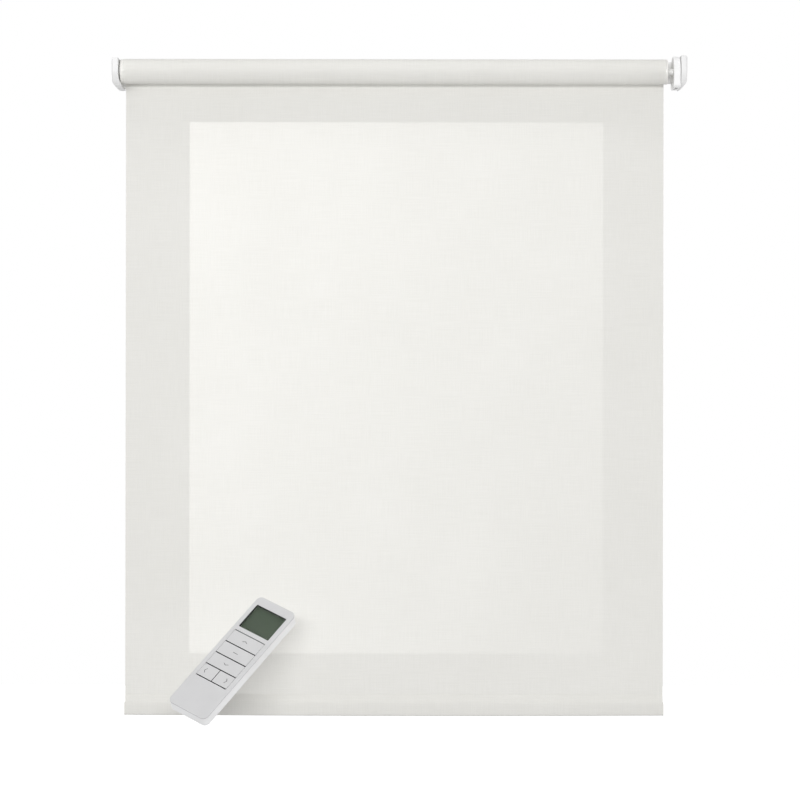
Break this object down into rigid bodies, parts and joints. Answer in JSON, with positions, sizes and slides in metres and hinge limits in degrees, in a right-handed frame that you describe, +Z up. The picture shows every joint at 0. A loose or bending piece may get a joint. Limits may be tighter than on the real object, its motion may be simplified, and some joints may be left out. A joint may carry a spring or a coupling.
{
  "type": "motorized roller blind",
  "caption": "Fabric roller blind on two wall brackets, driven by a battery motor inside its tube, with a radio handset.",
  "frame": {"origin": "On the wall plane, at the centre of the pattern of wall screws, level with the roller tube's axis.", "axes": "+X along the tube toward the motor end, +Y into the wall, +Z up. The fabric hangs toward -Z."},
  "size_m": [0.6, 0.1355, 0.6935],
  "materials": {
    "cover_white": "satin moulded white",
    "bracket_white": "white powder coat on pressed steel",
    "socket_plastic": "moulded bush",
    "head_white": "satin moulded white",
    "neck_white": "white painted steel tube",
    "steel": "plated steel",
    "spring_steel": "spring steel",
    "gear_steel": "sintered steel",
    "gear_plastic": "moulded acetal",
    "bearing_brass": "sintered bush",
    "circuit": "solder mask",
    "cell_wrap": "shrink wrap",
    "coin_steel": "plated can",
    "port_metal": "plated shell",
    "light_clear": "clear light pipe",
    "button_plastic": "moulded",
    "tube_aluminium": "extruded, satin",
    "plug_plastic": "moulded nylon",
    "fabric": "fine plain weave, off-white",
    "hem_plastic": "moulded",
    "remote_white": "satin moulded",
    "remote_key": "satin moulded",
    "remote_shell": "satin moulded, whiter than the face",
    "remote_lens": "clear window",
    "display": "green-grey liquid crystal panel",
    "membrane": "silicone rubber",
    "bezel": "black moulded frame"
  },
  "bodies": {
    "headrail": {"bracket_left": "bracket_white", "bracket_right": "bracket_white", "idler_socket": "socket_plastic", "motor_head": "head_white", "motor_head_lid": "head_white", "head_clip": "spring_steel", "head_board": "circuit", "charge_port": "port_metal", "status_light": "light_clear", "torque_tube": "neck_white", "motor_end_cap": "gear_plastic", "motor_housing": "steel", "output_bearing": "bearing_brass", "ring_gear": "gear_steel", "first_gear_stages": "gear_plastic", "motor_can": "steel", "control_board": "circuit", "battery_cell_1": "cell_wrap", "battery_cell_2": "cell_wrap", "fabric_panel": "fabric"},
    "roller": {"roller_tube": "tube_aluminium", "fabric_spline": "hem_plastic", "fabric_roll": "fabric", "idler_plug": "plug_plastic", "idler_plug_cap": "plug_plastic", "planet_carrier": "gear_steel", "drive_wheel": "plug_plastic", "drive_screw": "steel", "motor_crown": "plug_plastic"},
    "sun": {"sun_gear": "gear_steel"},
    "planet_1": {"planet_gear_1": "gear_plastic"},
    "planet_2": {"planet_gear_2": "gear_plastic"},
    "planet_3": {"planet_gear_3": "gear_plastic"},
    "idler_pin": {"idler_pin": "steel", "idler_spring": "spring_steel"},
    "hem": {"hem_bar": "tube_aluminium", "hem_pocket": "fabric", "hem_cap_left": "hem_plastic", "hem_cap_right": "hem_plastic"},
    "set_button": {"set_button": "button_plastic"},
    "cover_left": {"bracket_cover_left": "cover_white"},
    "cover_right": {"bracket_cover_right": "cover_white"},
    "handset": {"remote_front": "remote_white", "remote_back": "remote_shell", "remote_window": "remote_lens", "remote_bezel": "bezel", "remote_display": "display", "remote_board": "circuit", "remote_keypad": "membrane", "remote_coin_cell": "coin_steel", "remote_contact": "spring_steel", "remote_screws": "steel"},
    "battery_door": {"remote_door": "remote_shell"},
    "key_up": {"remote_key_up": "remote_key"},
    "key_stop": {"remote_key_stop": "remote_key"},
    "key_down": {"remote_key_down": "remote_key"},
    "key_left": {"remote_key_left": "remote_key"},
    "key_right": {"remote_key_right": "remote_key"}
  },
  "joints": [
    {"name": "tube_spin", "type": "hinge", "parent": "headrail", "child": "roller", "pos_m": [0, -0.024, 0], "axis": [1, 0, 0], "range_deg": [0, 2470]},
    {"name": "hem_lift", "type": "slide", "parent": "headrail", "child": "hem", "axis": [0, 0, 1], "range_m": [0, 0.62], "deforming": ["fabric_panel"]},
    {"name": "sun_spin", "type": "hinge", "parent": "headrail", "child": "sun", "pos_m": [0.03, -0.024, 0], "axis": [1, 0, 0], "range_deg": [0, 9885]},
    {"name": "planet_spin_1", "type": "hinge", "parent": "roller", "child": "planet_1", "pos_m": [0.0275, -0.0186, 0], "axis": [1, 0, 0], "range_deg": [-7415, 0]},
    {"name": "planet_spin_2", "type": "hinge", "parent": "roller", "child": "planet_2", "pos_m": [0.0275, -0.0267, 0.00468], "axis": [1, 0, 0], "range_deg": [-7415, 0]},
    {"name": "planet_spin_3", "type": "hinge", "parent": "roller", "child": "planet_3", "pos_m": [0.0275, -0.0267, -0.00468], "axis": [1, 0, 0], "range_deg": [-7415, 0]},
    {"name": "idler_pin_press", "type": "slide", "parent": "headrail", "child": "idler_pin", "axis": [1, 0, 0], "range_m": [0, 0.0045], "stiffness_N_per_m": 500, "springref_m": -0.004, "deforming": ["idler_spring"]},
    {"name": "set_button_press", "type": "slide", "parent": "headrail", "child": "set_button", "axis": [0, 0, 1], "range_m": [0, 0.0005], "stiffness_N_per_m": 800, "springref_m": -0.0006},
    {"name": "cover_left_off", "type": "slide", "parent": "headrail", "child": "cover_left", "axis": [-1, 0, 0], "range_m": [0, 0.02]},
    {"name": "cover_right_off", "type": "slide", "parent": "headrail", "child": "cover_right", "axis": [1, 0, 0], "range_m": [0, 0.02]},
    {"name": "handset_away", "type": "slide", "parent": "headrail", "child": "handset", "axis": [0, -1, 0], "range_m": [0, 0.25]},
    {"name": "battery_door_slide", "type": "slide", "parent": "handset", "child": "battery_door", "axis": [-0.5635, -0.5323, -0.6318], "range_m": [0, 0.045]},
    {"name": "key_up_press", "type": "slide", "parent": "handset", "child": "key_up", "axis": [0.082, 0.7249, -0.6839], "range_m": [0, 0.0006], "stiffness_N_per_m": 400, "springref_m": -0.0008},
    {"name": "key_stop_press", "type": "slide", "parent": "handset", "child": "key_stop", "axis": [0.082, 0.7249, -0.6839], "range_m": [0, 0.0006], "stiffness_N_per_m": 400, "springref_m": -0.0008},
    {"name": "key_down_press", "type": "slide", "parent": "handset", "child": "key_down", "axis": [0.082, 0.7249, -0.6839], "range_m": [0, 0.0006], "stiffness_N_per_m": 400, "springref_m": -0.0008},
    {"name": "key_left_press", "type": "slide", "parent": "handset", "child": "key_left", "axis": [0.082, 0.7249, -0.6839], "range_m": [0, 0.0006], "stiffness_N_per_m": 400, "springref_m": -0.0008},
    {"name": "key_right_press", "type": "slide", "parent": "handset", "child": "key_right", "axis": [0.082, 0.7249, -0.6839], "range_m": [0, 0.0006], "stiffness_N_per_m": 400, "springref_m": -0.0008}
  ],
  "couplings": [
    {"joint": "hem_lift", "follows": "tube_spin", "m_per_rad": 0.01438},
    {"joint": "sun_spin", "follows": "tube_spin", "ratio": 4},
    {"joint": "planet_spin_1", "follows": "tube_spin", "ratio": -3},
    {"joint": "planet_spin_2", "follows": "tube_spin", "ratio": -3},
    {"joint": "planet_spin_3", "follows": "tube_spin", "ratio": -3}
  ]
}
